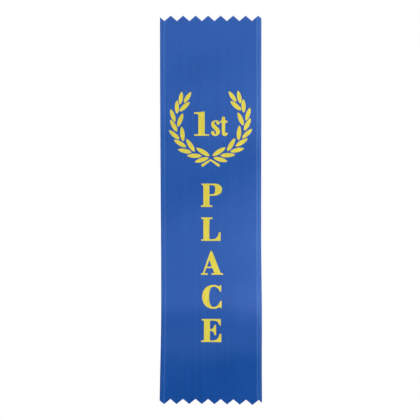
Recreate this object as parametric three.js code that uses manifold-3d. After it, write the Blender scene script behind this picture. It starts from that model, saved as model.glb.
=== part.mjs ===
// Award ribbon: a flat satin strip with pinked ends, stamped in gold foil with a laurel
// wreath, the rank "1st" and, down the middle, the word PLACE, one letter under another.
// Millimetres, +Z up. The strip hangs with its printed face towards -Y, and the origin is
// on its back face, at the point near the top where it is pinned or stuck on.

import * as THREE from 'three';
import { mergeVertices } from 'three/addons/utils/BufferGeometryUtils.js';
import Module from 'manifold-3d';

// The woven strip
const ribbonWidth = 50.8;
const ribbonThickness = 0.2;
const clothLength = 193.2; // from a tip of the top edge to the same tip of the bottom edge
const holdBelowTop = 12; // from the top tips down to the point where the strip is held

// The pinked ends, both cut with the same zigzag
const toothPitch = 6.25;
const toothDepth = 2.7;
const firstToothX = -20;

// How the strip hangs: flat where it is held, a slight swell below that, and a lower end
// that still curls forward from the roll. Distances run down the cloth from its top tips.
const swellStart = 24;
const swellEnd = 124;
const swellLean = 4; // degrees
const curlStart = 128;
const curlEnd = 178;
const curlLean = 22; // degrees
const facetLength = 4;

// The foil
const foilThickness = 0.05;
const wreathX = -0.1; // the stamp sits a little left of the strip's middle
const letteringX = -0.24;
const bondGap = 0.01; // between the cloth and the foil

// The wreath, in two mirrored branches that grow from the stems at its foot
const wreathBelowHold = 41.43;
const wreathAskew = 1; // degrees, the way a hand-set die sits
const outerLeaves = { count: 5, radius: 19.26, first: 255.8, step: 29.1, turn: 30.5, scale: 1 };
const middleLeaves = { count: 4, radius: 18.54, first: 243, step: 29.6, turn: 25, scale: 1.02 };
const innerLeaves = { count: 5, radius: 15.2, first: 254.5, step: 26.8, turn: -16, scale: 1.06 };
const tipLeaf = { count: 1, radius: 17.03, first: 131.3, step: 0, turn: 14.5, scale: 1 };
const lowestLeaf = { length: 7.38, width: 2.15 };
const highestLeaf = { length: 6.5, width: 2.08 };
const leafShoulder = 0.75; // how full the leaf is near its base and near its tip
const leafPoint = 0.6;

// The lettering
const rankBaseline = -48.1; // heights along the cloth, from the point where it is held
const rankHeight = 12.2;
const smallHeight = 7.75;
const capHeight = 11.7;
const firstCapBaseline = -83.78;
const capPitch = 16.92;
const hairline = 0.8;
const stemWidth = 3;
const bracket = 0.55; // radius where a stem runs out into its serif

// Curves
const curveSteps = 10;

const satinBlue = new THREE.MeshStandardMaterial({ color: 0x2d5caa, roughness: 0.45, metalness: 0 });
const foilGold = new THREE.MeshStandardMaterial({ color: 0xe8d54b, roughness: 0.35, metalness: 1 });

const manifold = await Module();
manifold.setup();

// ---------------------------------------------------------------- how the cloth hangs

// Lean forward from upright, in radians, at a distance down the cloth.
function leanAt(distance) {
  const swell = THREE.MathUtils.clamp((distance - swellStart) / (swellEnd - swellStart), 0, 1);
  const curl = THREE.MathUtils.smoothstep(distance, curlStart, curlEnd);
  const degrees = swellLean * Math.sin(Math.PI * swell) ** 2 + curlLean * curl;
  return THREE.MathUtils.degToRad(degrees);
}

// The back face seen from the side, as stations from above the top tips to below the end.
function hangingStations() {
  const stations = [];
  const substeps = 8;
  const substep = facetLength / substeps;
  const last = clothLength + toothDepth + facetLength;
  let y = 0;
  let z = holdBelowTop + facetLength;
  let distance = -facetLength;
  while (distance < last) {
    stations.push({ distance, y, z, lean: leanAt(distance) });
    for (let i = 0; i < substeps; i += 1) {
      const lean = leanAt(distance + substep / 2);
      y -= substep * Math.sin(lean);
      z -= substep * Math.cos(lean);
      distance += substep;
    }
  }
  return stations;
}

const stations = hangingStations();

// Height in the model of a point that is `along` above the held point on flat cloth.
function heightAt(along) {
  const place = (holdBelowTop - along - stations[0].distance) / facetLength;
  const index = THREE.MathUtils.clamp(Math.floor(place), 0, stations.length - 2);
  return THREE.MathUtils.lerp(stations[index].z, stations[index + 1].z, place - index);
}

// ---------------------------------------------------------------- solids

function solidFrom(geometry) {
  geometry.deleteAttribute('normal');
  geometry.deleteAttribute('uv');
  const merged = mergeVertices(geometry, 1e-5);
  const vertProperties = merged.attributes.position.array;
  const triVerts = new Uint32Array(merged.index.array);
  return new manifold.Manifold(new manifold.Mesh({ numProp: 3, vertProperties, triVerts }));
}

function geometryFrom(solid) {
  const mesh = solid.getMesh();
  const geometry = new THREE.BufferGeometry();
  geometry.setAttribute('position', new THREE.BufferAttribute(mesh.vertProperties, 3));
  geometry.setIndex(new THREE.BufferAttribute(mesh.triVerts, 1));
  return geometry;
}

// A sheet that hangs as the cloth does, between two distances in front of its back face.
function hangingLayer(near, far) {
  const offset = (station, depth) => new THREE.Vector2(
    station.y - depth * Math.cos(station.lean),
    station.z + depth * Math.sin(station.lean),
  );
  const back = stations.map((station) => offset(station, near));
  const front = stations.map((station) => offset(station, far));
  const profile = new THREE.Shape([...back, ...front.reverse()]);
  const across = ribbonWidth + 10;
  const geometry = new THREE.ExtrudeGeometry(profile, { depth: across, bevelEnabled: false });
  const sideways = new THREE.Matrix4().makeBasis(
    new THREE.Vector3(0, 1, 0),
    new THREE.Vector3(0, 0, 1),
    new THREE.Vector3(1, 0, 0),
  );
  geometry.applyMatrix4(sideways);
  geometry.translate(-across / 2, 0, 0);
  return solidFrom(geometry);
}

// The outline on flat cloth, moved sideways, with its points lowered to where they hang.
function hung(points, shiftX) {
  return points.map((point) => new THREE.Vector2(point.x + shiftX, heightAt(point.y)));
}

// What a die of this outline cuts out of a hanging layer.
function cutFrom(layer, shape, shiftX) {
  const { shape: outline, holes } = shape.extractPoints(curveSteps);
  const lowered = new THREE.Shape(hung(outline, shiftX));
  lowered.holes = holes.map((hole) => new THREE.Path(hung(hole, shiftX)));
  const reach = 40;
  const geometry = new THREE.ExtrudeGeometry(lowered, { depth: reach, bevelEnabled: false });
  geometry.rotateX(Math.PI / 2);
  geometry.translate(0, 5, 0);
  return layer.intersect(solidFrom(geometry));
}

const clothLayer = hangingLayer(0, ribbonThickness);
const foilStart = ribbonThickness + bondGap;
const foilLayer = hangingLayer(foilStart, foilStart + foilThickness);

const awardRibbon = new THREE.Group();

function addPiece(name, layer, shape, material, shiftX) {
  const mesh = new THREE.Mesh(geometryFrom(cutFrom(layer, shape, shiftX)), material.clone());
  mesh.name = name;
  awardRibbon.add(mesh);
}

function addFoil(name, shape, shiftX) {
  addPiece(name, foilLayer, shape, foilGold, shiftX);
}

// ---------------------------------------------------------------- the strip

// Corners of one pinked edge from left to right, its tips at height `top`.
function pinkedEdge(top) {
  const side = ribbonWidth / 2;
  const halfPitch = toothPitch / 2;
  const dropAt = (x) => {
    const alongTooth = THREE.MathUtils.euclideanModulo(x - firstToothX + halfPitch, toothPitch);
    return toothDepth * Math.abs(alongTooth - halfPitch) / halfPitch;
  };
  const corners = [new THREE.Vector2(-side, top - dropAt(-side))];
  for (let x = firstToothX - halfPitch; x < side; x += halfPitch) {
    corners.push(new THREE.Vector2(x, top - dropAt(x)));
  }
  corners.push(new THREE.Vector2(side, top - dropAt(side)));
  return corners;
}

function stripShape() {
  const top = pinkedEdge(holdBelowTop);
  const bottom = pinkedEdge(holdBelowTop - clothLength);
  return new THREE.Shape([...bottom, ...top.reverse()]);
}

// ---------------------------------------------------------------- the wreath

// A pointed leaf about its own centre, growing along +X, moved to its place and turned.
function leafShape(size, centre, angle) {
  const half = size.length / 2;
  const swell = size.width / 1.5;
  const place = (x, y) => new THREE.Vector2(x, y).rotateAround(new THREE.Vector2(), angle).add(centre);
  const base = place(-half, 0);
  const tip = place(half, 0);
  const underBase = place(-half * leafShoulder, -swell);
  const underTip = place(half * leafPoint, -swell);
  const overTip = place(half * leafPoint, swell);
  const overBase = place(-half * leafShoulder, swell);
  const leaf = new THREE.Shape();
  leaf.moveTo(base.x, base.y);
  leaf.bezierCurveTo(underBase.x, underBase.y, underTip.x, underTip.y, tip.x, tip.y);
  leaf.bezierCurveTo(overTip.x, overTip.y, overBase.x, overBase.y, base.x, base.y);
  return leaf;
}

// One row of leaves. The left branch follows the angles as given, the right one mirrors it.
function addLeaves(rowName, row, sideName) {
  const mirror = sideName === 'left' ? 1 : -1;
  for (let i = 0; i < row.count; i += 1) {
    const place = row.first - i * row.step;
    const up = (outerLeaves.first - place) / (outerLeaves.first - tipLeaf.first);
    const size = {
      length: row.scale * THREE.MathUtils.lerp(lowestLeaf.length, highestLeaf.length, up),
      width: row.scale * THREE.MathUtils.lerp(lowestLeaf.width, highestLeaf.width, up),
    };
    const polar = THREE.MathUtils.degToRad(place);
    const growth = THREE.MathUtils.degToRad(place - 90 + row.turn);
    const askew = THREE.MathUtils.degToRad(wreathAskew);
    const centre = new THREE.Vector2(
      mirror * row.radius * Math.cos(polar),
      row.radius * Math.sin(polar),
    );
    centre.rotateAround(new THREE.Vector2(), askew);
    centre.y -= wreathBelowHold;
    const angle = askew + (mirror === 1 ? growth : Math.PI - growth);
    const name = row.count > 1 ? `leaf_${sideName}_${rowName}_${i + 1}` : `leaf_${sideName}_${rowName}`;
    addFoil(name, leafShape(size, centre, angle), wreathX);
  }
}

// Two stems that cross at the foot of the wreath, as one inverted V with round ends.
function stemsShape() {
  const apex = new THREE.Vector2(0.1, -60.1);
  const reach = new THREE.Vector2(3.95, 2.75);
  const endRadius = 0.7;
  const apexHalf = 0.36;
  const angle = Math.atan2(reach.y, reach.x);
  const normal = new THREE.Vector2(Math.sin(angle), Math.cos(angle));
  const left = new THREE.Vector2(apex.x - reach.x, apex.y - reach.y);
  const right = new THREE.Vector2(apex.x + reach.x, apex.y - reach.y);
  const shape = new THREE.Shape();
  shape.moveTo(apex.x, apex.y + apexHalf);
  shape.lineTo(left.x - normal.x * endRadius, left.y + normal.y * endRadius);
  shape.absarc(left.x, left.y, endRadius, Math.PI / 2 + angle, Math.PI * 1.5 + angle, false);
  shape.lineTo(apex.x, apex.y - apexHalf * 1.6);
  shape.lineTo(right.x - normal.x * endRadius, right.y - normal.y * endRadius);
  shape.absarc(right.x, right.y, endRadius, Math.PI * 1.5 - angle, Math.PI / 2 - angle, false);
  shape.lineTo(apex.x, apex.y + apexHalf);
  return shape;
}

// ---------------------------------------------------------------- the lettering

// A pen that draws in a letter's own frame: across the strip, and up from its baseline.
function pen(baseline, path = new THREE.Shape()) {
  const draw = {
    path,
    from: (x, y) => {
      path.moveTo(x, baseline + y);
      return draw;
    },
    line: (...points) => {
      points.forEach(([x, y]) => path.lineTo(x, baseline + y));
      return draw;
    },
    bend: (cornerX, cornerY, x, y) => {
      path.quadraticCurveTo(cornerX, baseline + cornerY, x, baseline + y);
      return draw;
    },
    sweep: (ax, ay, bx, by, x, y) => {
      path.bezierCurveTo(ax, baseline + ay, bx, baseline + by, x, baseline + y);
      return draw;
    },
  };
  return draw;
}

function letterP(baseline) {
  const left = -3.4;
  const right = left + stemWidth;
  const bowlFoot = 5.6;
  const bowlSide = 5.9;
  const counterSide = 2.5;
  const draw = pen(baseline).from(-4.6, 0);
  draw.line([1.05, 0], [1.05, hairline], [right + bracket, hairline]);
  draw.bend(right, hairline, right, hairline + bracket);
  draw.line([right, bowlFoot], [1.4, bowlFoot]);
  draw.sweep(4.4, bowlFoot, bowlSide, 6.9, bowlSide, 8.7);
  draw.sweep(bowlSide, 10.6, 4.4, capHeight, 1.8, capHeight);
  draw.line([-4.4, capHeight], [-4.4, capHeight - hairline * 0.6]);
  draw.bend(left, capHeight - hairline, left, capHeight - hairline - bracket * 1.6);
  draw.line([left, hairline + bracket]);
  draw.bend(left, hairline, left - bracket, hairline);
  draw.line([-4.6, hairline]);
  const counter = pen(baseline, new THREE.Path()).from(right, bowlFoot + hairline);
  counter.line([right, capHeight - hairline], [1.1, capHeight - hairline]);
  counter.sweep(2.1, capHeight - hairline, counterSide, 10.4, counterSide, 8.7);
  counter.sweep(counterSide, 7.1, 2.1, bowlFoot + hairline, 1.1, bowlFoot + hairline);
  draw.path.holes.push(counter.path);
  return draw.path;
}

function letterL(baseline) {
  const left = -3.4;
  const right = left + stemWidth;
  const armEnd = 5.2;
  const beakTop = 4.25;
  const draw = pen(baseline).from(-4.45, 0);
  draw.line([armEnd, 0], [armEnd, beakTop], [armEnd - 0.85, beakTop]);
  draw.sweep(4, 1.9, 2.9, hairline, 0.9, hairline);
  draw.line([right + bracket, hairline]);
  draw.bend(right, hairline, right, hairline + bracket);
  draw.line([right, capHeight - hairline - bracket]);
  draw.bend(right, capHeight - hairline, right + bracket, capHeight - hairline);
  draw.line([1.1, capHeight - hairline], [1.1, capHeight], [-4.45, capHeight]);
  draw.line([-4.45, capHeight - hairline], [left - bracket, capHeight - hairline]);
  draw.bend(left, capHeight - hairline, left, capHeight - hairline - bracket);
  draw.line([left, hairline + bracket]);
  draw.bend(left, hairline, left - bracket, hairline);
  draw.line([-4.45, hairline]);
  return draw.path;
}

function letterA(baseline) {
  const apexX = 0.55;
  const apexHalf = 0.4;
  const apexHeight = capHeight + 0.15;
  const thinWidth = 0.95; // both legs measured level
  const thickWidth = 3.15;
  const thinSlope = 0.355;
  const thickSlope = 0.39;
  const barFoot = 3.35;
  const barTop = barFoot + 0.75;
  const thinOuter = (y) => apexX - apexHalf - thinSlope * (apexHeight - y);
  const thinInner = (y) => thinOuter(y) + thinWidth;
  const thickOuter = (y) => apexX + apexHalf + thickSlope * (apexHeight - y);
  const thickInner = (y) => thickOuter(y) - thickWidth;
  const crotch = apexHeight - (thinWidth + thickWidth - 2 * apexHalf) / (thinSlope + thickSlope);
  const draw = pen(baseline).from(-4.55, 0);
  draw.line([-1.2, 0], [-1.2, hairline], [thinInner(hairline), hairline]);
  draw.line([thinInner(barFoot), barFoot], [thickInner(barFoot), barFoot]);
  draw.line([thickInner(hairline), hairline], [0.7, hairline], [0.7, 0], [6.4, 0]);
  draw.line([6.4, hairline], [thickOuter(hairline), hairline]);
  draw.line([apexX + apexHalf, apexHeight], [apexX - apexHalf, apexHeight]);
  draw.line([thinOuter(hairline), hairline], [-4.55, hairline]);
  const counter = pen(baseline, new THREE.Path()).from(thinInner(barTop), barTop);
  counter.line([thinInner(crotch), crotch], [thickInner(barTop), barTop]);
  draw.path.holes.push(counter.path);
  return draw.path;
}

function letterC(baseline) {
  const overshoot = 0.15;
  const top = capHeight + overshoot;
  const middle = capHeight / 2;
  const outerLeft = -4.05;
  const innerLeft = -0.5;
  const crownX = 1.6;
  const draw = pen(baseline).from(crownX, top);
  draw.sweep(-1.8, top, outerLeft, 9.3, outerLeft, middle);
  draw.sweep(outerLeft, 2.4, -1.7, -overshoot, 1.65, -overshoot);
  draw.sweep(2.9, -overshoot, 3.9, 0.25, 4.55, 0.85);
  draw.line([4.95, 0.3], [5.65, 0.3], [5.8, 3.6], [5.2, 4]);
  draw.sweep(4.5, 2.2, 3.3, hairline, 1.75, hairline);
  draw.sweep(0.2, hairline, innerLeft, 2.6, innerLeft, middle);
  draw.sweep(innerLeft, 9.2, 0.2, top - hairline, 1.7, top - hairline);
  draw.sweep(3.2, top - hairline, 4.3, 10, 4.85, 8.4);
  draw.line([5.5, 8.6], [5.5, capHeight], [4.9, capHeight], [4.35, capHeight - 0.7]);
  draw.sweep(3.6, capHeight - 0.15, 2.7, top, crownX, top);
  return draw.path;
}

function letterE(baseline) {
  const left = -3.1;
  const right = left + stemWidth;
  const topEnd = 5.3;
  const footEnd = 5.55;
  const middleEnd = 2.95;
  const middle = 6.15;
  const draw = pen(baseline).from(-4.55, 0);
  draw.line([footEnd, 0], [footEnd, 4.25], [footEnd - 0.85, 4.25]);
  draw.sweep(4.3, 1.9, 3.1, hairline, 1.2, hairline);
  draw.line([right, hairline], [right, middle - 0.45]);
  draw.sweep(1.2, middle - 0.4, 1.9, 5, 2.1, 3.55);
  draw.line([middleEnd, 3.55], [middleEnd, 8.75], [2.1, 8.75]);
  draw.sweep(1.9, 7.3, 1.2, middle + 0.4, right, middle + 0.45);
  draw.line([right, capHeight - hairline], [1.2, capHeight - hairline]);
  draw.sweep(3.1, capHeight - hairline, 4.2, 10.4, 4.6, 8.5);
  draw.line([topEnd, 8.5], [topEnd, capHeight], [-4.2, capHeight]);
  draw.line([-4.2, capHeight - hairline], [left - bracket, capHeight - hairline]);
  draw.bend(left, capHeight - hairline, left, capHeight - hairline - bracket);
  draw.line([left, hairline + bracket]);
  draw.bend(left, hairline, left - bracket, hairline);
  draw.line([-4.55, hairline]);
  return draw.path;
}

function numeralOne(baseline) {
  const left = -5.95;
  const right = left + 3.2;
  const draw = pen(baseline).from(-8, 0);
  draw.line([-0.45, 0], [-0.45, hairline], [right + bracket, hairline]);
  draw.bend(right, hairline, right, hairline + bracket);
  draw.line([right, rankHeight]);
  draw.sweep(-4.6, rankHeight - 0.25, -6.4, rankHeight - 0.45, -8, rankHeight - 0.45);
  draw.line([-8, rankHeight - 0.45 - hairline], [left - bracket * 1.6, rankHeight - 0.45 - hairline]);
  draw.bend(left, rankHeight - 0.5 - hairline, left, rankHeight - 1.3 - hairline);
  draw.line([left, hairline + bracket]);
  draw.bend(left, hairline, left - bracket, hairline);
  draw.line([-8, hairline]);
  return draw.path;
}

// The small s: a spine of changing width between two round terminals.
function smallS(baseline) {
  const upperBall = { x: 3.95, y: 6.35, radius: 0.8 };
  const lowerBall = { x: 1.3, y: 1.65, radius: 0.85 };
  const draw = pen(baseline).from(upperBall.x + upperBall.radius, upperBall.y);
  draw.sweep(4.7, 7.4, 3.8, smallHeight, 2.75, smallHeight);
  draw.sweep(1.4, smallHeight, 0.5, 7, 0.5, 5.75);
  draw.sweep(0.5, 4.9, 1, 4.2, 1.7, 3.5);
  draw.sweep(2.5, 2.7, 2.95, 2.3, 2.95, 1.7);
  draw.sweep(2.95, 1.1, 2.75, 0.75, 2.5, 0.75);
  draw.sweep(2.3, 0.75, 2.2, 1.15, lowerBall.x + lowerBall.radius, lowerBall.y);
  draw.path.absarc(lowerBall.x, baseline + lowerBall.y, lowerBall.radius, 0, Math.PI, false);
  draw.sweep(0.45, 0.6, 1.4, -0.1, 2.55, -0.1);
  draw.sweep(3.9, -0.1, 4.85, 0.95, 4.85, 2.2);
  draw.sweep(4.85, 3.1, 4.3, 3.8, 3.5, 4.55);
  draw.sweep(2.7, 5.3, 2.1, 5.75, 2.1, 6.4);
  draw.sweep(2.1, 6.9, 2.35, 7.2, 2.7, 7.2);
  draw.sweep(3, 7.2, 3.1, 6.8, upperBall.x - upperBall.radius, upperBall.y);
  draw.path.absarc(upperBall.x, baseline + upperBall.y, upperBall.radius, Math.PI, 2 * Math.PI, false);
  return draw.path;
}

// The small t: a rounded stem with a round-ended bar and a foot that turns up.
function smallT(baseline) {
  const left = 5.82;
  const right = 7.5;
  const barHeight = 7.08;
  const barHalf = 0.63;
  const topRadius = (right - left) / 2;
  const stemTop = 9.65 - topRadius;
  const draw = pen(baseline).from(left, barHeight + barHalf);
  draw.line([5.63, barHeight + barHalf]);
  draw.path.absarc(5.63, baseline + barHeight, barHalf, Math.PI / 2, Math.PI * 1.5, false);
  draw.line([left, barHeight - barHalf], [left, 1.9]);
  draw.sweep(left, 0.6, 6.4, -0.1, 7.4, -0.1);
  draw.sweep(8.3, -0.1, 8.8, 0.6, 8.8, 1.6);
  draw.line([8, 1.6]);
  draw.sweep(7.95, 1.2, 7.45, 1.2, right, 1.9);
  draw.line([right, barHeight - barHalf], [8.08, barHeight - barHalf]);
  draw.path.absarc(8.08, baseline + barHeight, barHalf, -Math.PI / 2, Math.PI / 2, false);
  draw.line([right, barHeight + barHalf], [right, stemTop]);
  draw.path.absarc(left + topRadius, baseline + stemTop, topRadius, 0, Math.PI, false);
  return draw.path;
}

// ---------------------------------------------------------------- assembly

addPiece('ribbon', clothLayer, stripShape(), satinBlue, 0);

for (const sideName of ['left', 'right']) {
  addLeaves('outer', outerLeaves, sideName);
  addLeaves('middle', middleLeaves, sideName);
  addLeaves('inner', innerLeaves, sideName);
  addLeaves('tip', tipLeaf, sideName);
}
addFoil('wreath_stems', stemsShape(), wreathX);

addFoil('numeral_1', numeralOne(rankBaseline), letteringX);
addFoil('rank_s', smallS(rankBaseline), letteringX);
addFoil('rank_t', smallT(rankBaseline), letteringX);

[letterP, letterL, letterA, letterC, letterE].forEach((drawLetter, i) => {
  const name = `letter_${drawLetter.name.slice(-1)}`;
  addFoil(name, drawLetter(firstCapBaseline - i * capPitch), letteringX);
});

export default awardRibbon;
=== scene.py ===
import math

import bmesh
import bpy
import numpy as np
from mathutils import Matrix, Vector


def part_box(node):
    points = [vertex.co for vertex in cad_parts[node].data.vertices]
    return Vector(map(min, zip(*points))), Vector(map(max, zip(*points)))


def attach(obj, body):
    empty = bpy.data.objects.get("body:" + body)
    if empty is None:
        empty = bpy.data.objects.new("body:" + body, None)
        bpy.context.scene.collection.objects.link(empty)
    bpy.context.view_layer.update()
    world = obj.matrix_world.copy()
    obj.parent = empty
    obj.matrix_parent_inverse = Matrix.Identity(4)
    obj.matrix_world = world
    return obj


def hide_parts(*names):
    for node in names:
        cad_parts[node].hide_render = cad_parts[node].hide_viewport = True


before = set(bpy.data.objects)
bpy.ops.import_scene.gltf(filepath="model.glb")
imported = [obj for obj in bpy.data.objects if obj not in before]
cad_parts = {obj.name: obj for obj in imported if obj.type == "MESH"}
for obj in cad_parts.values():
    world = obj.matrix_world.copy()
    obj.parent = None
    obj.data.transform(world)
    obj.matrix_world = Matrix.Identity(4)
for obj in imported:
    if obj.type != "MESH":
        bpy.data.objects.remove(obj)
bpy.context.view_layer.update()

# Award ribbon: blue satin cut with pinked ends, a gold foil laurel, rank and word on its face.
# It hangs with the printed face towards -Y. Lengths are metres, written as millimetres * mm.

mm = 0.001
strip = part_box("ribbon")
halfWidth = (strip[1][0] - strip[0][0]) / 2
topTips = strip[1][2]


# Helpers that build node trees

def addNode(tree, kind, **settings):
    node = tree.nodes.new(kind)
    for name, value in settings.items():
        setattr(node, name, value)
    return node


def feed(tree, socket, value):
    # a value may be another node's output or a plain number, vector or colour
    if isinstance(value, bpy.types.NodeSocket):
        tree.links.new(value, socket)
    elif value is not None:
        socket.default_value = value


def calc(tree, operation, first, second=None, third=None):
    node = addNode(tree, "ShaderNodeMath", operation=operation)
    for socket, value in zip(node.inputs, (first, second, third)):
        feed(tree, socket, value)
    return node.outputs[0]


def blendColour(tree, factor, first, second):
    node = addNode(tree, "ShaderNodeMix", data_type="RGBA", blend_type="MIX")
    feed(tree, node.inputs[0], factor)
    feed(tree, node.inputs[6], first)
    feed(tree, node.inputs[7], second)
    return node.outputs[2]


# A smooth change of scale, held at both ends
def remap(tree, value, low, high, newLow, newHigh):
    node = addNode(tree, "ShaderNodeMapRange", interpolation_type="SMOOTHSTEP")
    for socket, item in zip(node.inputs, (value, low, high, newLow, newHigh)):
        feed(tree, socket, item)
    return node.outputs[0]


def newGroup(name, inputs, outputs, kind="ShaderNodeTree"):
    tree = bpy.data.node_groups.new(name, kind)
    for socketName, (socketType, default) in inputs.items():
        socket = tree.interface.new_socket(name=socketName, in_out="INPUT", socket_type=socketType)
        if default is not None:
            socket.default_value = default
    for socketName, socketType in outputs.items():
        tree.interface.new_socket(name=socketName, in_out="OUTPUT", socket_type=socketType)
    return tree, addNode(tree, "NodeGroupInput"), addNode(tree, "NodeGroupOutput")


def placeGroup(tree, group, place, sizes=None):
    node = addNode(tree, "ShaderNodeGroup", node_tree=group)
    feed(tree, node.inputs["Vector"], place)
    for name, value in (sizes or {}).items():
        feed(tree, node.inputs[name], value)
    return node


# Adds up values, each times its share
def addShares(tree, start, shares):
    total = start
    for value, share in shares:
        total = calc(tree, "MULTIPLY_ADD", value, share, total)
    return total


# How the cloth hangs. The solid strip has the same line, so these follow the part's own sizes.
hang = {
    "cloth length": 193.2 * mm,  # from a tip of the top edge to the same tip of the bottom edge
    "thickness": 0.2 * mm,
    "tooth pitch": 6.25 * mm,
    "tooth depth": 2.7 * mm,
    "first tooth": -20 * mm,
    "swell": (24 * mm, 124 * mm, 4),  # start, end, lean in degrees
    "curl": (128 * mm, 178 * mm, 22),
}


def smoothStep(value, low, high):
    part = np.clip((value - low) / (high - low), 0, 1)
    return part * part * (3 - 2 * part)


# Lean forward from upright, in radians, at a distance down the cloth from its top tips
def leanAt(distance):
    swellStart, swellEnd, swellLean = hang["swell"]
    curlStart, curlEnd, curlLean = hang["curl"]
    swell = np.clip((distance - swellStart) / (swellEnd - swellStart), 0, 1)
    curl = smoothStep(distance, curlStart, curlEnd)
    return np.radians(swellLean * np.sin(np.pi * swell) ** 2 + curlLean * curl)


# the line from side on, walked in short steps, with spare above the top and below the end
hangStep = 0.1 * mm
spareAbove = 8 * mm
spareBelow = 12 * mm
hangAt = np.arange(-spareAbove, hang["cloth length"] + spareBelow, hangStep)
hangLean = leanAt(hangAt[:-1] + hangStep / 2)
hangY = -np.concatenate([[0], np.cumsum(hangStep * np.sin(hangLean))])
hangZ = -np.concatenate([[0], np.cumsum(hangStep * np.cos(hangLean))])
hangZ += topTips - np.interp(0, hangAt, hangZ)

# What handling and the roll left in the cloth
ripples = {
    "flat until": 14 * mm,  # cupping, twist and waves start below the place where it is held
    "full from": 52 * mm,
    "cupping": -0.85 * mm,  # the edges lie behind the middle
    "twist": (-0.9 * mm, 40 * mm, 170 * mm),  # at the right edge, from and to
    # height, length, slant and start as shares of a wave
    "waves": [(0.5 * mm, 110 * mm, 0.05, 0.136), (0.06 * mm, 34 * mm, 0.35, 0.6)],
    "lip": (0.8 * mm, 28 * mm),  # the very top stands forward of the flat
    # how far each edge is drawn in, where, and its reach up and down
    "left pulls": [(0.7 * mm, 144 * mm, 74 * mm, 42 * mm)],
    "right pulls": [(0.15 * mm, 108 * mm, 40 * mm, 20 * mm), (-0.2 * mm, 150 * mm, 20 * mm, 18 * mm)],
}


# Soft relief of the cloth, measured forwards from its plain hang
def rippleAt(across, distance):
    side = across / halfWidth
    lift = ripples["cupping"] * (side ** 2 - 0.4)  # none at about two thirds of the way out
    for height, length, slant, start in ripples["waves"]:
        lift = lift + height * np.sin(2 * np.pi * (distance / length + slant * side + start))
    twist, twistStart, twistEnd = ripples["twist"]
    lift = lift + twist * side * smoothStep(distance, twistStart, twistEnd)
    lipHeight, lipReach = ripples["lip"]
    lip = lipHeight * np.clip(1 - distance / lipReach, 0, 1) ** 2
    return lip + lift * smoothStep(distance, ripples["flat until"], ripples["full from"])


# A smooth rise and fall along the cloth, with its own reach above and below the highest place
def humpAt(distance, height, middle, above, below):
    offset = distance - middle
    return height * np.exp(-(offset / np.where(offset < 0, above, below)) ** 2)


# Point of the hanging cloth: across it, down it and in front of its back face
def clothPoints(across, distance, depth):
    across, distance, depth = np.broadcast_arrays(across, distance, depth)
    lean = leanAt(distance)
    forward = depth + rippleAt(across, distance)
    x = across
    for side, pulls in ((-1, ripples["left pulls"]), (1, ripples["right pulls"])):
        share = np.clip(side * across / halfWidth, 0, 1) ** 2
        for pull in pulls:
            x = x - side * share * humpAt(distance, *pull)
    y = np.interp(distance, hangAt, hangY) - forward * np.cos(lean)
    z = np.interp(distance, hangAt, hangZ) + forward * np.sin(lean)
    return np.stack([x, y, z], axis=-1)


def meshFrom(name, points, faces, clothUv=None, smooth=True):
    mesh = bpy.data.meshes.new(name)
    mesh.from_pydata([tuple(point) for point in points], [], [tuple(face) for face in faces])
    mesh.validate()
    if clothUv is not None:
        layer = mesh.uv_layers.new(name="cloth")
        corners = np.zeros(len(mesh.loops), dtype=np.int64)
        mesh.loops.foreach_get("vertex_index", corners)
        layer.data.foreach_set("uv", clothUv[corners].astype(np.float32).ravel())
    if smooth:
        mesh.shade_smooth()
    mesh.update()
    piece = bpy.data.objects.new(name, mesh)
    bpy.context.collection.objects.link(piece)
    return piece


def clothUvOf(across, distance):
    return np.stack([across + halfWidth, distance], axis=-1)


# Camera, lights and floor
studio = {
    "camera": (-0.33 * mm, -1500 * mm, -85.2 * mm),
    "view width": 210.2 * mm,  # at the plane of the strip's flat top
    "floor": -250 * mm,
    "floor radius": 3000 * mm,
    "floor tone": (0.86, 0.86, 0.87, 1),
    "fade": (260 * mm, 480 * mm),  # the pale floor runs out into white between these radii
    "ambient": 0.06,
}

# Each soft box in metres: its place, its width and height, its radiance and where it points
stripMiddle = (0, 0, -85 * mm)
softBoxes = {
    "frontBox": ((1.0, -1.45, -0.04), (1.1, 0.28), 5.0, stripMiddle),
    "topBox": ((0.2, 0.7, 1.3), (1.8, 1.2), 4.2, (0, -0.3, studio["floor"])),
    "highBox": ((0.1, -1.41, 0.66), (0.6, 0.4), 2.4, stripMiddle),
    "rightBox": ((1.08, -1.08, -0.02), (0.9, 0.44), 5.4, stripMiddle),
    "leftBox": ((-1.12, -1.04, -0.02), (0.9, 0.44), 5.0, stripMiddle),
    "backBox": ((-0.5, 1.6, 0.5), (1.6, 0.9), 2.3, stripMiddle),
}


def makeCamera():
    data = bpy.data.cameras.new("camera")
    data.sensor_width = 36
    data.lens = data.sensor_width * -studio["camera"][1] / studio["view width"]
    data.clip_start = 0.01
    data.clip_end = 50
    camera = bpy.data.objects.new("camera", data)
    camera.location = studio["camera"]
    camera.rotation_euler = (math.pi / 2, 0, 0)
    bpy.context.collection.objects.link(camera)
    bpy.context.scene.camera = camera


def makeSoftBox(name, place, size, radiance, target):
    data = bpy.data.lights.new(name, "AREA")
    data.shape = "RECTANGLE"
    data.size, data.size_y = size
    data.energy = radiance * math.pi * size[0] * size[1]
    lamp = bpy.data.objects.new(name, data)
    lamp.location = place
    aim = np.array(target) - np.array(place)
    yaw = math.atan2(-aim[0], aim[1])
    pitch = math.atan2(aim[2], math.hypot(aim[0], aim[1]))
    lamp.rotation_euler = (math.pi / 2 + pitch, 0, yaw)
    bpy.context.collection.objects.link(lamp)


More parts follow.
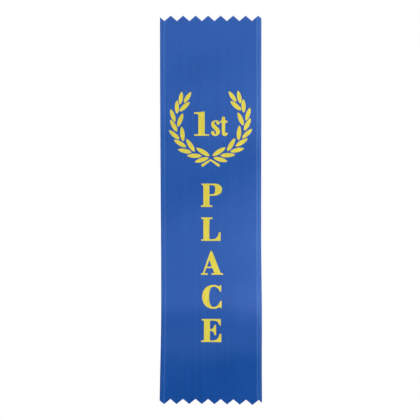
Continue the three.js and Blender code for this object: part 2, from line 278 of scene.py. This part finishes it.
def makeWorld():
    world = bpy.data.worlds.new("studio")
    bpy.context.scene.world = world
    world.use_nodes = True
    tree = world.node_tree
    tree.nodes.clear()
    path = addNode(tree, "ShaderNodeLightPath")
    seen = addNode(tree, "ShaderNodeBackground")
    feed(tree, seen.inputs["Color"], (1, 1, 1, 1))
    light = addNode(tree, "ShaderNodeBackground")
    feed(tree, light.inputs["Color"], (1, 1, 1, 1))
    feed(tree, light.inputs["Strength"], studio["ambient"])
    choice = addNode(tree, "ShaderNodeMixShader")  # white where it is seen, dim where it lights
    tree.links.new(path.outputs["Is Camera Ray"], choice.inputs[0])
    tree.links.new(light.outputs[0], choice.inputs[1])
    tree.links.new(seen.outputs[0], choice.inputs[2])
    output = addNode(tree, "ShaderNodeOutputWorld")
    tree.links.new(choice.outputs[0], output.inputs["Surface"])


def makeFloor():
    edge = np.linspace(0, 2 * np.pi, 96, endpoint=False)
    points = np.stack([np.cos(edge), np.sin(edge), np.zeros_like(edge)], axis=-1)
    points = points * studio["floor radius"] + [0, 0, studio["floor"]]
    floor = meshFrom("floor", points, [range(len(points))], smooth=False)
    material = bpy.data.materials.new("floorPaper")
    material.use_nodes = True
    tree = material.node_tree
    paper = tree.nodes["Principled BSDF"]
    feed(tree, paper.inputs["Base Color"], studio["floor tone"])
    feed(tree, paper.inputs["Roughness"], 0.9)
    place = addNode(tree, "ShaderNodeTexCoord").outputs["Object"]
    span = addNode(tree, "ShaderNodeVectorMath", operation="LENGTH")
    flatten = addNode(tree, "ShaderNodeVectorMath", operation="MULTIPLY")
    feed(tree, flatten.inputs[0], place)
    feed(tree, flatten.inputs[1], (1, 1, 0))
    feed(tree, span.inputs[0], flatten.outputs[0])
    near, far = studio["fade"]
    outside = remap(tree, span.outputs["Value"], near, far, 0.0, 1.0)
    seen = addNode(tree, "ShaderNodeLightPath").outputs["Is Camera Ray"]
    share = calc(tree, "MULTIPLY", outside, seen)
    white = addNode(tree, "ShaderNodeEmission")
    choice = addNode(tree, "ShaderNodeMixShader")
    feed(tree, choice.inputs[0], share)
    tree.links.new(paper.outputs[0], choice.inputs[1])
    tree.links.new(white.outputs[0], choice.inputs[2])
    tree.links.new(choice.outputs[0], tree.nodes["Material Output"].inputs["Surface"])
    floor.data.materials.append(material)


makeCamera()
makeWorld()
makeFloor()
for boxName, box in softBoxes.items():
    makeSoftBox(boxName, *box)
bpy.context.scene.view_settings.view_transform = "Standard"
print("studio ready")


# Shader groups

# Satin seen close up: long floats side by side, each tied down once in every float length
def makeSatinWeave():
    inputs = {
        "Vector": ("NodeSocketVector", None),
        "Warp Pitch": ("NodeSocketFloat", 0.16 * mm),
        "Float Length": ("NodeSocketFloat", 1.3 * mm),
        "Streak Width": ("NodeSocketFloat", 0.9 * mm),
        "Streak Length": ("NodeSocketFloat", 120 * mm),
        "Bar Width": ("NodeSocketFloat", 7 * mm),
        "Bar Length": ("NodeSocketFloat", 0.6 * mm),
    }
    outputs = {name: "NodeSocketFloat" for name in ("Height", "Yarn", "Streak", "Bar")}
    tree, given, result = newGroup("satinWeave", inputs, outputs)
    split = addNode(tree, "ShaderNodeSeparateXYZ")
    feed(tree, split.inputs[0], given.outputs["Vector"])
    across, along = split.outputs[0], split.outputs[1]
    place = calc(tree, "DIVIDE", across, given.outputs["Warp Pitch"])
    index = calc(tree, "FLOOR", place)
    fromMiddle = calc(tree, "MULTIPLY_ADD", calc(tree, "FRACT", place), 2.0, -1.0)
    crown = calc(tree, "SUBTRACT", 1.0, calc(tree, "MULTIPLY", fromMiddle, fromMiddle))
    floats = calc(tree, "DIVIDE", along, given.outputs["Float Length"])
    phase = calc(tree, "FRACT", calc(tree, "MULTIPLY_ADD", index, 0.4, floats))
    fromTie = calc(tree, "ABSOLUTE", calc(tree, "SUBTRACT", phase, 0.5))
    tied = remap(tree, fromTie, 0.38, 0.5, 1.0, 0.35)
    feed(tree, result.inputs["Height"], calc(tree, "MULTIPLY", crown, tied))
    shade = addNode(tree, "ShaderNodeTexWhiteNoise", noise_dimensions="1D")
    feed(tree, shade.inputs["W"], index)
    feed(tree, result.inputs["Yarn"], shade.outputs["Value"])
    # uneven warp shows as lengthwise streaks, uneven weft as bars across
    for outputName in ("Streak", "Bar"):
        stretched = addNode(tree, "ShaderNodeCombineXYZ")
        feed(tree, stretched.inputs[0], calc(tree, "DIVIDE", across, given.outputs[outputName + " Width"]))
        feed(tree, stretched.inputs[1], calc(tree, "DIVIDE", along, given.outputs[outputName + " Length"]))
        uneven = addNode(tree, "ShaderNodeTexNoise", noise_dimensions="2D")
        feed(tree, uneven.inputs["Vector"], stretched.outputs[0])
        feed(tree, uneven.inputs["Scale"], 1.0)
        feed(tree, uneven.inputs["Detail"], 3.0)
        feed(tree, result.inputs[outputName], uneven.outputs["Fac"])
    return tree


# Slow change of tone over a surface, from handling, folding and the dye bath
def makeUnevenness():
    inputs = {
        "Vector": ("NodeSocketVector", None),
        "Patch": ("NodeSocketFloat", 18 * mm),
        "Speck": ("NodeSocketFloat", 0.8 * mm),
    }
    outputs = {"Patches": "NodeSocketFloat", "Specks": "NodeSocketFloat"}
    tree, given, result = newGroup("unevenness", inputs, outputs)
    for inputName, outputName, detail in (("Patch", "Patches", 3.0), ("Speck", "Specks", 2.0)):
        scaled = addNode(tree, "ShaderNodeVectorMath", operation="SCALE")
        feed(tree, scaled.inputs[0], given.outputs["Vector"])
        feed(tree, scaled.inputs["Scale"], calc(tree, "DIVIDE", 1.0, given.outputs[inputName]))
        noise = addNode(tree, "ShaderNodeTexNoise", noise_dimensions="3D")
        feed(tree, noise.inputs["Vector"], scaled.outputs[0])
        feed(tree, noise.inputs["Scale"], 1.0)
        feed(tree, noise.inputs["Detail"], detail)
        feed(tree, result.inputs[outputName], noise.outputs["Fac"])
    return tree


# A lengthwise band, as a soft mask, centred a given distance inside either edge. Side is 1 on the right.
def makeSelvedgeBand():
    inputs = {
        "Vector": ("NodeSocketVector", None),
        "Half Width": ("NodeSocketFloat", 25.4 * mm),
        "Inset": ("NodeSocketFloat", 2 * mm),
        "Band": ("NodeSocketFloat", 0.5 * mm),
    }
    outputs = {"Mask": "NodeSocketFloat", "Side": "NodeSocketFloat"}
    tree, given, result = newGroup("selvedgeBand", inputs, outputs)
    split = addNode(tree, "ShaderNodeSeparateXYZ")
    feed(tree, split.inputs[0], given.outputs["Vector"])
    middle = calc(tree, "SUBTRACT", split.outputs[0], given.outputs["Half Width"])
    inside = calc(tree, "SUBTRACT", given.outputs["Half Width"], calc(tree, "ABSOLUTE", middle))
    offset = calc(tree, "ABSOLUTE", calc(tree, "SUBTRACT", inside, given.outputs["Inset"]))
    share = calc(tree, "DIVIDE", offset, given.outputs["Band"])
    feed(tree, result.inputs["Mask"], remap(tree, share, 0.0, 1.0, 1.0, 0.0))
    feed(tree, result.inputs["Side"], calc(tree, "GREATER_THAN", middle, 0.0))
    return tree


satinWeave = makeSatinWeave()
unevenness = makeUnevenness()
selvedgeBand = makeSelvedgeBand()


def newMaterial(name, uvMap="cloth"):
    material = bpy.data.materials.new(name)
    material.use_nodes = True
    tree = material.node_tree
    shader = tree.nodes["Principled BSDF"]
    if uvMap:
        place = addNode(tree, "ShaderNodeUVMap", uv_map=uvMap).outputs["UV"]
    else:
        place = addNode(tree, "ShaderNodeTexCoord").outputs["Object"]
    return material, tree, shader, place


def addRelief(tree, shader, height, distance, strength):
    bump = addNode(tree, "ShaderNodeBump")
    feed(tree, bump.inputs["Height"], height)
    feed(tree, bump.inputs["Distance"], distance)
    feed(tree, bump.inputs["Strength"], strength)
    tree.links.new(bump.outputs["Normal"], shader.inputs["Normal"])


# Roughness that wanders with the specks, by its own amount below and above
def roughnessAbout(tree, tone, middle, below, above):
    return remap(tree, tone.outputs["Specks"], 0.3, 0.7, middle - below, middle + above)


# Materials. Colours are linear, and each share says how far its unevenness moves the tone.
satinLook = {
    "face dark": (0.0034, 0.075, 0.370, 1),
    "face light": (0.0060, 0.098, 0.445, 1),
    # lighter blue on the selvedge ridges: the ridges are real weave, but their lighter colour is painted
    # sheen
    "selvedge": (0.060, 0.190, 0.560, 1),
    "back dark": (0.0100, 0.065, 0.300, 1),
    "back light": (0.0150, 0.092, 0.380, 1),
    "roughness": 0.36,
    "anisotropy": 0.72,
    "gloss": 0.37,
    "metallic": 0.12,  # part of the sheen comes back coloured by the threads
    "relief": (0.012 * mm, 0.6),  # height and strength
    "back relief": (0.03 * mm, 0.8),
    "face shares": {"Yarn": 0.25, "Streak": 0.75, "Bar": 0.55, "Patches": 0.5, "Specks": 1.1},
    "face start": -0.9,  # brings the sum of the shares back to a low starting tone
    "back shares": {"Yarn": 0.3, "Streak": 0.4},
    "back ribs": {
        "Warp Pitch": 0.24 * mm,
        "Float Length": 0.8 * mm,
        "Streak Width": 1.2 * mm,
        "Streak Length": 20 * mm,
    },
    "outer ridge": {"Inset": 0.85 * mm, "Band": 0.5 * mm},
    "inner ridge": {"Inset": 2.15 * mm, "Band": 0.8 * mm},
    "outer ridge sheen": (0.1, 0.7),  # painted sheen, at the left edge and at the right one; stronger on the right, where the light falls
    "inner ridge sheen": (0.35, 0.6),
}


def sharesOf(look, *groups):
    # pairs each named output with its share, in the look's order
    pairs = []
    for name, share in look.items():
        source = next(group for group in groups if name in group.outputs)
        pairs.append((source.outputs[name], share))
    return pairs


# One lengthwise ridge of the selvedges, with its painted sheen shown more at one edge than at the other
def ridgeSheenMask(tree, place, sizes, shows):
    band = placeGroup(tree, selvedgeBand, place, sizes)
    left, right = shows
    share = calc(tree, "MULTIPLY_ADD", band.outputs["Side"], right - left, left)
    return calc(tree, "MULTIPLY", band.outputs["Mask"], share)


def satinFaceMaterial():
    material, tree, shader, place = newMaterial("satinFace")
    weave = placeGroup(tree, satinWeave, place)
    tone = placeGroup(tree, unevenness, place)
    shade = addShares(tree, satinLook["face start"], sharesOf(satinLook["face shares"], weave, tone))
    shade = remap(tree, shade, 0.2, 1.0, 0.0, 1.0)
    colour = blendColour(tree, shade, satinLook["face dark"], satinLook["face light"])
    # painted sheen: the selvedge ridges are tinted a lighter blue, more at the right edge than at the left
    outer = ridgeSheenMask(tree, place, satinLook["outer ridge"], satinLook["outer ridge sheen"])
    inner = ridgeSheenMask(tree, place, satinLook["inner ridge"], satinLook["inner ridge sheen"])
    ridge = calc(tree, "MAXIMUM", outer, inner)
    picks = calc(tree, "MULTIPLY_ADD", tone.outputs["Specks"], 1.2, 0.4)
    colour = blendColour(tree, calc(tree, "MULTIPLY", ridge, picks), colour, satinLook["selvedge"])
    feed(tree, shader.inputs["Base Color"], colour)
    feed(tree, shader.inputs["Roughness"], roughnessAbout(tree, tone, satinLook["roughness"], 0.03, 0.03))
    feed(tree, shader.inputs["Anisotropic"], satinLook["anisotropy"])
    feed(tree, shader.inputs["Specular IOR Level"], satinLook["gloss"])
    feed(tree, shader.inputs["Metallic"], satinLook["metallic"])
    tangent = addNode(tree, "ShaderNodeTangent", direction_type="UV_MAP", uv_map="cloth")
    tree.links.new(tangent.outputs[0], shader.inputs["Tangent"])
    addRelief(tree, shader, weave.outputs["Height"], *satinLook["relief"])
    return material


# The dull side shows the weft, so the same weave is turned to run across
def satinBackMaterial():
    material, tree, shader, place = newMaterial("satinBack")
    turned = addNode(tree, "ShaderNodeMapping")
    feed(tree, turned.inputs["Vector"], place)
    turned.inputs["Rotation"].default_value[2] = math.pi / 2
    ribs = placeGroup(tree, satinWeave, turned.outputs[0], satinLook["back ribs"])
    tone = placeGroup(tree, unevenness, place)
    shade = addShares(tree, tone.outputs["Patches"], sharesOf(satinLook["back shares"], ribs))
    shade = remap(tree, shade, 0.5, 1.2, 0.0, 1.0)
    colour = blendColour(tree, shade, satinLook["back dark"], satinLook["back light"])
    feed(tree, shader.inputs["Base Color"], colour)
    feed(tree, shader.inputs["Roughness"], roughnessAbout(tree, tone, 0.61, 0.05, 0.05))
    feed(tree, shader.inputs["Sheen Weight"], 0.25)
    addRelief(tree, shader, ribs.outputs["Height"], *satinLook["back relief"])
    return material


def threadMaterial():
    material, tree, shader, place = newMaterial("threadEnds", None)
    tone = placeGroup(tree, unevenness, place, {"Patch": 1.5 * mm, "Speck": 0.12 * mm})
    shade = remap(tree, tone.outputs["Patches"], 0.3, 0.7, 0.0, 1.0)
    colour = blendColour(tree, shade, satinLook["face dark"], satinLook["selvedge"])
    feed(tree, shader.inputs["Base Color"], colour)
    feed(tree, shader.inputs["Roughness"], roughnessAbout(tree, tone, 0.52, 0.07, 0.08))
    feed(tree, shader.inputs["Sheen Weight"], 0.3)
    addRelief(tree, shader, tone.outputs["Specks"], 0.02 * mm, 0.5)
    return material


foilLook = {
    "gold": (0.91, 0.80, 0.088, 1),
    "deep": (0.77, 0.64, 0.056, 1),
    "metallic": 0.28,
    "roughness": 0.4,
    "weave": {"Streak Width": 0.45 * mm, "Streak Length": 9 * mm},
    "tone": {"Patch": 6 * mm, "Speck": 0.35 * mm},
    "shares": {"Yarn": 0.15, "Streak": 1.2, "Patches": 0.4},
    "relief": (0.008 * mm, 0.6),
}


# Thin film pressed into the cloth, so the weave under it shows
def foilMaterial():
    material, tree, shader, place = newMaterial("stampedGold")
    weave = placeGroup(tree, satinWeave, place, foilLook["weave"])
    tone = placeGroup(tree, unevenness, place, foilLook["tone"])
    shade = addShares(tree, 0.0, sharesOf(foilLook["shares"], weave, tone))
    shade = remap(tree, shade, 0.55, 1.15, 0.0, 0.7)
    feed(tree, shader.inputs["Base Color"], blendColour(tree, shade, foilLook["gold"], foilLook["deep"]))
    feed(tree, shader.inputs["Metallic"], foilLook["metallic"])
    feed(tree, shader.inputs["Roughness"], roughnessAbout(tree, tone, foilLook["roughness"], 0.05, 0.07))
    relief = calc(tree, "MULTIPLY_ADD", tone.outputs["Specks"], 0.4, weave.outputs["Height"])
    addRelief(tree, shader, relief, *foilLook["relief"])
    return material


satinFace = satinFaceMaterial()
satinBack = satinBackMaterial()
threadEnds = threadMaterial()
stampedGold = foilMaterial()
print("materials ready")


# The satin strip
weaveGrid = {
    "columns in a tooth": 8,
    "row": 0.8 * mm,
    "end zone": 7 * mm,  # rows bend into the zigzag within this length of each end
    "end rows": 10,
    # millimetres inside the edge, closest where the edge is round and on the ridges
    "edge columns": [0, 0.05, 0.12, 0.3, 0.42, 0.55, 0.68, 0.85, 1.1, 1.4, 1.7, 1.9, 2.1, 2.3, 2.6],
    "edge radius": 0.12 * mm,
    # inset, width and height
    "ridges": [(0.55 * mm, 0.2 * mm, 0.045 * mm), (2.1 * mm, 0.28 * mm, 0.035 * mm)],
    "back ridge": 0.2,  # how much of a ridge shows on the back
}


# How far the pinked edge lies below its tips
def toothDrop(across):
    half = hang["tooth pitch"] / 2
    along = np.mod(across - hang["first tooth"] + half, hang["tooth pitch"])
    return hang["tooth depth"] * np.abs(along - half) / half


def columnPlaces():
    step = hang["tooth pitch"] / weaveGrid["columns in a tooth"]
    edge = np.array(weaveGrid["edge columns"]) * mm
    first = hang["first tooth"] - step * math.floor((hang["first tooth"] + halfWidth) / step)
    middle = np.arange(first, halfWidth, step)
    middle = middle[np.abs(middle) < halfWidth - edge[-1] - step / 3]
    return np.concatenate([edge - halfWidth, middle, halfWidth - edge[::-1]])


# Distance down the cloth at each row and column, the end rows bending into the teeth
def rowPlaces(columns):
    length, zone = hang["cloth length"], weaveGrid["end zone"]
    part = np.linspace(0, 1, weaveGrid["end rows"])[:, None]
    drop = toothDrop(columns)[None, :]
    top = drop + (zone - drop) * part
    bottom = (length - zone + hang["tooth depth"]) * (1 - part) + (length + drop) * part
    count = round((length - 2 * zone) / weaveGrid["row"])
    middle = np.linspace(zone, length - zone + hang["tooth depth"], count)[1:-1, None]
    return np.concatenate([top, np.repeat(middle, len(columns), axis=1), bottom])


def makeStrip():
    columns = columnPlaces()
    distance = rowPlaces(columns)
    rows = len(distance)
    across = np.broadcast_to(columns, distance.shape)
    inside = halfWidth - np.abs(across)
    roundness = np.clip(inside / weaveGrid["edge radius"], 0, 1)
    roundness = np.sqrt(1 - (1 - roundness) ** 2)
    ridge = 0
    for inset, width, height in weaveGrid["ridges"]:
        ridge = ridge + height * np.exp(-((inside - inset) / width) ** 2)
    middle = hang["thickness"] / 2
    front = clothPoints(across, distance, middle + (middle + ridge) * roundness)
    back = clothPoints(across, distance, middle - (middle + weaveGrid["back ridge"] * ridge) * roundness)
    points = np.concatenate([front.reshape(-1, 3), back.reshape(-1, 3)])
    uv = np.tile(clothUvOf(across, distance).reshape(-1, 2), (2, 1))
    width = len(columns)
    offset = rows * width

    # the two faces share their outermost columns, so each selvedge closes on itself
    def frontIndex(row, column):
        return row * width + column

    def backIndex(row, column):
        return frontIndex(row, column) + (0 if column in (0, width - 1) else offset)

    faces, kinds = [], []
    for row in range(rows - 1):
        for column in range(width - 1):
            corners = [(row, column), (row + 1, column), (row + 1, column + 1), (row, column + 1)]
            faces.append([frontIndex(*corner) for corner in corners])
            kinds.append(0)
            faces.append([backIndex(*corner) for corner in reversed(corners)])
            kinds.append(1)
    for row, turn in ((0, 1), (rows - 1, -1)):
        for column in range(width - 1):
            loop = [frontIndex(row, column), frontIndex(row, column + 1),
                    backIndex(row, column + 1), backIndex(row, column)]
            loop = [corner for i, corner in enumerate(loop) if corner not in loop[:i]]
            faces.append(loop[::turn])
            kinds.append(2)
    used = np.unique(np.concatenate([np.array(face) for face in faces]))
    newIndex = np.full(len(points), -1)
    newIndex[used] = np.arange(len(used))
    faces = [[int(newIndex[corner]) for corner in face] for face in faces]
    piece = meshFrom("satin_strip", points[used], faces, uv[used])
    for material in (satinFace, satinBack, threadEnds):
        piece.data.materials.append(material)
    piece.data.polygons.foreach_set("material_index", kinds)
    piece.data.set_sharp_from_angle(angle=math.radians(50))
    return piece


satinStrip = makeStrip()
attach(satinStrip, "root")
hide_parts("ribbon")
print("strip ready", len(satinStrip.data.polygons), "faces")


# The foil
foilShape = {
    "from": 0.203 * mm,  # in front of the cloth's back face
    "to": 0.23 * mm,
    "outline depth": 0.26 * mm,  # where the plain solid has its front face
    "grid": 1 * mm,
    "rim step": 0.3 * mm,
    "rim wander": 0.02 * mm,  # the film tears off along single threads
}


# The plain solid's front face, cut along a grid and with short steps along its rim
def foilOutline(nodeName):
    flat = bmesh.new()
    flat.from_mesh(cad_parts[nodeName].data)
    bmesh.ops.remove_doubles(flat, verts=flat.verts, dist=0.002 * mm)
    flat.normal_update()
    rest = [face for face in flat.faces if face.normal.y > -0.5]
    bmesh.ops.delete(flat, geom=rest, context="FACES")
    bmesh.ops.dissolve_limit(flat, angle_limit=math.radians(0.1), verts=flat.verts, edges=flat.edges)
    low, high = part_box(nodeName)
    for axis in (0, 2):
        direction = [0, 0, 0]
        direction[axis] = 1
        count = math.floor((high[axis] - low[axis]) / foilShape["grid"])
        for i in range(1, count + 1):
            spot = [0, 0, 0]
            spot[axis] = low[axis] + (high[axis] - low[axis]) * i / (count + 1)
            geometry = flat.verts[:] + flat.edges[:] + flat.faces[:]
            bmesh.ops.bisect_plane(
                flat, geom=geometry, dist=0.0005 * mm, plane_co=spot, plane_no=direction)
    rim = [edge for edge in flat.edges if edge.is_boundary and edge.calc_length() > foilShape["rim step"]]
    for edge in rim:
        cuts = math.floor(edge.calc_length() / foilShape["rim step"])
        bmesh.ops.subdivide_edges(flat, edges=[edge], cuts=cuts)
    bmesh.ops.triangulate(flat, faces=flat.faces[:])
    flat.verts.index_update()
    return flat


def makeFoil(nodeName, random):
    flat = foilOutline(nodeName)
    place = np.array([vertex.co[:] for vertex in flat.verts])
    onRim = np.array([vertex.is_boundary for vertex in flat.verts])
    faces = [[vertex.index for vertex in face.verts] for face in flat.faces]
    rimEdges = []
    for edge in flat.edges:
        if edge.is_boundary:
            loop = edge.link_loops[0]
            rimEdges.append((loop.vert.index, loop.link_loop_next.vert.index))
    flat.free()
    frontZ = hangZ + foilShape["outline depth"] * np.sin(leanAt(hangAt))
    across = place[:, 0]
    distance = np.interp(place[:, 2], frontZ[::-1], hangAt[::-1])
    wander = random.uniform(-1, 1, (2, len(place))) * foilShape["rim wander"] * onRim
    across = across + wander[0] * 0.5
    distance = distance + wander[1]
    count = len(place)
    upper = clothPoints(across, distance, foilShape["to"])
    lower = clothPoints(across, distance, foilShape["from"])
    solid = faces + [[corner + count for corner in reversed(face)] for face in faces]
    solid += [[b, a, a + count, b + count] for a, b in rimEdges]
    uv = np.tile(clothUvOf(across, distance), (2, 1))
    piece = meshFrom("foil_" + nodeName, np.concatenate([upper, lower]), solid, uv)
    piece.data.set_sharp_from_angle(angle=math.radians(40))
    piece.data.materials.append(stampedGold)
    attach(piece, "root")
    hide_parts(nodeName)
    return piece


randomRim = np.random.default_rng(7)
foilNodes = sorted(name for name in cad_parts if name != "ribbon")
foilPieces = [makeFoil(name, randomRim) for name in foilNodes]
print("foil ready", len(foilPieces), "pieces")


# Threads along the edges, made with geometry nodes

def runNodes(name, tree, path, values):
    # run a tree on a path, keep what it makes as a plain mesh
    modifier = path.modifiers.new("threads", "NODES")
    modifier.node_group = tree
    for item in tree.interface.items_tree:
        if item.item_type == "SOCKET" and item.in_out == "INPUT" and item.name in values:
            modifier[item.identifier] = values[item.name]
    graph = bpy.context.evaluated_depsgraph_get()
    mesh = bpy.data.meshes.new_from_object(path.evaluated_get(graph))
    mesh.name = name
    piece = bpy.data.objects.new(name, mesh)
    bpy.context.collection.objects.link(piece)
    path.modifiers.remove(modifier)
    spent = path.data
    bpy.data.objects.remove(path)
    bpy.data.meshes.remove(spent)
    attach(piece, "root")
    return piece


def pathObject(name, lines):
    points = np.concatenate(lines)
    edges, start = [], 0
    for line in lines:
        edges += [(start + i, start + i + 1) for i in range(len(line) - 1)]
        start += len(line)
    mesh = bpy.data.meshes.new(name)
    mesh.from_pydata([tuple(point) for point in points], edges, [])
    path = bpy.data.objects.new(name, mesh)
    bpy.context.collection.objects.link(path)
    return path


def finishTree(tree, result, geometry, material):
    real = addNode(tree, "GeometryNodeRealizeInstances")
    feed(tree, real.inputs[0], geometry)
    smooth = addNode(tree, "GeometryNodeSetShadeSmooth")
    feed(tree, smooth.inputs[0], real.outputs[0])
    paint = addNode(tree, "GeometryNodeSetMaterial")
    feed(tree, paint.inputs[0], smooth.outputs[0])
    paint.inputs["Material"].default_value = material
    feed(tree, result.inputs[0], paint.outputs[0])


# Values that the selvedge's tree takes as inputs
selvedge = {
    "Loop Pitch": 0.3 * mm,
    "Loop Radius": 0.075 * mm,
    "Thread Radius": 0.045 * mm,
}


# Weft turning round the outermost warp: one small ring for each pick
def selvedgeTree():
    inputs = {"Path": ("NodeSocketGeometry", None)}
    inputs.update({name: ("NodeSocketFloat", size) for name, size in selvedge.items()})
    outputs = {"Threads": "NodeSocketGeometry"}
    tree, given, result = newGroup("selvedgeLoops", inputs, outputs, "GeometryNodeTree")
    curve = addNode(tree, "GeometryNodeMeshToCurve")
    feed(tree, curve.inputs[0], given.outputs["Path"])
    picks = addNode(tree, "GeometryNodeCurveToPoints", mode="LENGTH")
    feed(tree, picks.inputs["Curve"], curve.outputs[0])
    feed(tree, picks.inputs["Length"], given.outputs["Loop Pitch"])
    ring = addNode(tree, "GeometryNodeCurvePrimitiveCircle")
    feed(tree, ring.inputs["Resolution"], 8)
    feed(tree, ring.inputs["Radius"], given.outputs["Loop Radius"])
    thread = addNode(tree, "GeometryNodeCurvePrimitiveCircle")
    feed(tree, thread.inputs["Resolution"], 4)
    feed(tree, thread.inputs["Radius"], given.outputs["Thread Radius"])
    loop = addNode(tree, "GeometryNodeCurveToMesh")
    feed(tree, loop.inputs["Curve"], ring.outputs[0])
    feed(tree, loop.inputs["Profile Curve"], thread.outputs[0])
    turn = addNode(tree, "FunctionNodeAlignRotationToVector", axis="Z", pivot_axis="X")
    feed(tree, turn.inputs["Vector"], picks.outputs["Tangent"])
    copies = addNode(tree, "GeometryNodeInstanceOnPoints")
    feed(tree, copies.inputs["Points"], picks.outputs["Points"])
    feed(tree, copies.inputs["Instance"], loop.outputs[0])
    feed(tree, copies.inputs["Rotation"], turn.outputs[0])
    finishTree(tree, result, copies.outputs[0], threadEnds)
    return tree


def makeSelvedges():
    tree = selvedgeTree()
    pieces = []
    for sideName, side in (("left", -1), ("right", 1)):
        start, end = toothDrop(side * halfWidth), hang["cloth length"] + toothDrop(side * halfWidth)
        distance = np.linspace(start + 0.15 * mm, end - 0.15 * mm, 400)
        line = clothPoints(side * (halfWidth - 0.05 * mm), distance, hang["thickness"] / 2)
        path = pathObject(sideName + "Edge", [line])
        pieces.append(runNodes(f"selvedge_{sideName}", tree, path, selvedge))
    return pieces


# Values that the fray's tree takes as inputs, and the range in which its threads lean
fray = {
    "Spacing": 0.22 * mm,
    "Shortest": 0.12 * mm,
    "Longest": 0.42 * mm,
    "Thread Radius": 0.022 * mm,
    "Seed": 11,
}
frayLean = ((-0.35, -0.45, -0.1), (0.35, 0.3, 0.1))


# Warp ends left standing along a pinked cut, no two the same length or direction
def frayTree():
    inputs = {"Path": ("NodeSocketGeometry", None)}
    for name, size in fray.items():
        kind = "NodeSocketInt" if name == "Seed" else "NodeSocketFloat"
        inputs[name] = (kind, size)
    inputs["Direction"] = ("NodeSocketVector", (0, 0, 1))
    outputs = {"Threads": "NodeSocketGeometry"}
    tree, given, result = newGroup("pinkedFray", inputs, outputs, "GeometryNodeTree")
    curve = addNode(tree, "GeometryNodeMeshToCurve")
    feed(tree, curve.inputs[0], given.outputs["Path"])
    ends = addNode(tree, "GeometryNodeCurveToPoints", mode="LENGTH")
    feed(tree, ends.inputs["Curve"], curve.outputs[0])
    feed(tree, ends.inputs["Length"], given.outputs["Spacing"])
    length = addNode(tree, "FunctionNodeRandomValue", data_type="FLOAT")
    feed(tree, length.inputs[2], given.outputs["Shortest"])
    feed(tree, length.inputs[3], given.outputs["Longest"])
    feed(tree, length.inputs["Seed"], given.outputs["Seed"])
    lean = addNode(tree, "FunctionNodeRandomValue", data_type="FLOAT_VECTOR")
    feed(tree, lean.inputs[0], frayLean[0])
    feed(tree, lean.inputs[1], frayLean[1])
    feed(tree, lean.inputs["Seed"], given.outputs["Seed"])
    heading = addNode(tree, "ShaderNodeVectorMath", operation="ADD")
    feed(tree, heading.inputs[0], given.outputs["Direction"])
    feed(tree, heading.inputs[1], lean.outputs[0])
    turn = addNode(tree, "FunctionNodeAlignRotationToVector", axis="Z")
    feed(tree, turn.inputs["Vector"], heading.outputs[0])
    thread = addNode(tree, "GeometryNodeMeshCone", fill_type="NGON")
    feed(tree, thread.inputs["Vertices"], 5)
    feed(tree, thread.inputs["Side Segments"], 2)
    feed(tree, thread.inputs["Radius Top"], calc(tree, "MULTIPLY", given.outputs["Thread Radius"], 0.45))
    feed(tree, thread.inputs["Radius Bottom"], given.outputs["Thread Radius"])
    feed(tree, thread.inputs["Depth"], 1.0)
    size = addNode(tree, "ShaderNodeCombineXYZ")
    feed(tree, size.inputs[0], 1.0)
    feed(tree, size.inputs[1], 1.0)
    feed(tree, size.inputs[2], length.outputs[1])
    copies = addNode(tree, "GeometryNodeInstanceOnPoints")
    feed(tree, copies.inputs["Points"], ends.outputs["Points"])
    feed(tree, copies.inputs["Instance"], thread.outputs[0])
    feed(tree, copies.inputs["Rotation"], turn.outputs[0])
    feed(tree, copies.inputs["Scale"], size.outputs[0])
    finishTree(tree, result, copies.outputs[0], threadEnds)
    return tree


def makeFray():
    tree = frayTree()
    corners = np.sort(np.concatenate([
        np.arange(hang["first tooth"] - hang["tooth pitch"] / 2, halfWidth, hang["tooth pitch"] / 2),
        [0.2 * mm - halfWidth, halfWidth - 0.2 * mm],
    ]))
    pieces = []
    # name, start, way it points and seed
    ends = (("top", 0, 1, fray["Seed"]), ("bottom", hang["cloth length"], -1, fray["Seed"] + 1))
    for endName, start, side, seed in ends:
        distance = start + toothDrop(corners) + side * 0.04 * mm
        path = pathObject(endName + "Cut", [clothPoints(corners, distance, hang["thickness"] / 2)])
        lean = float(leanAt(np.array(start))) if side < 0 else 0.0
        heading = (0.0, side * math.sin(lean), side * math.cos(lean))
        values = dict(fray, Seed=seed, Direction=heading)
        pieces.append(runNodes(f"fray_{endName}", tree, path, values))
    return pieces


threadPieces = makeSelvedges() + makeFray()
print("threads ready", [len(piece.data.polygons) for piece in threadPieces])

print("ribbon ready")
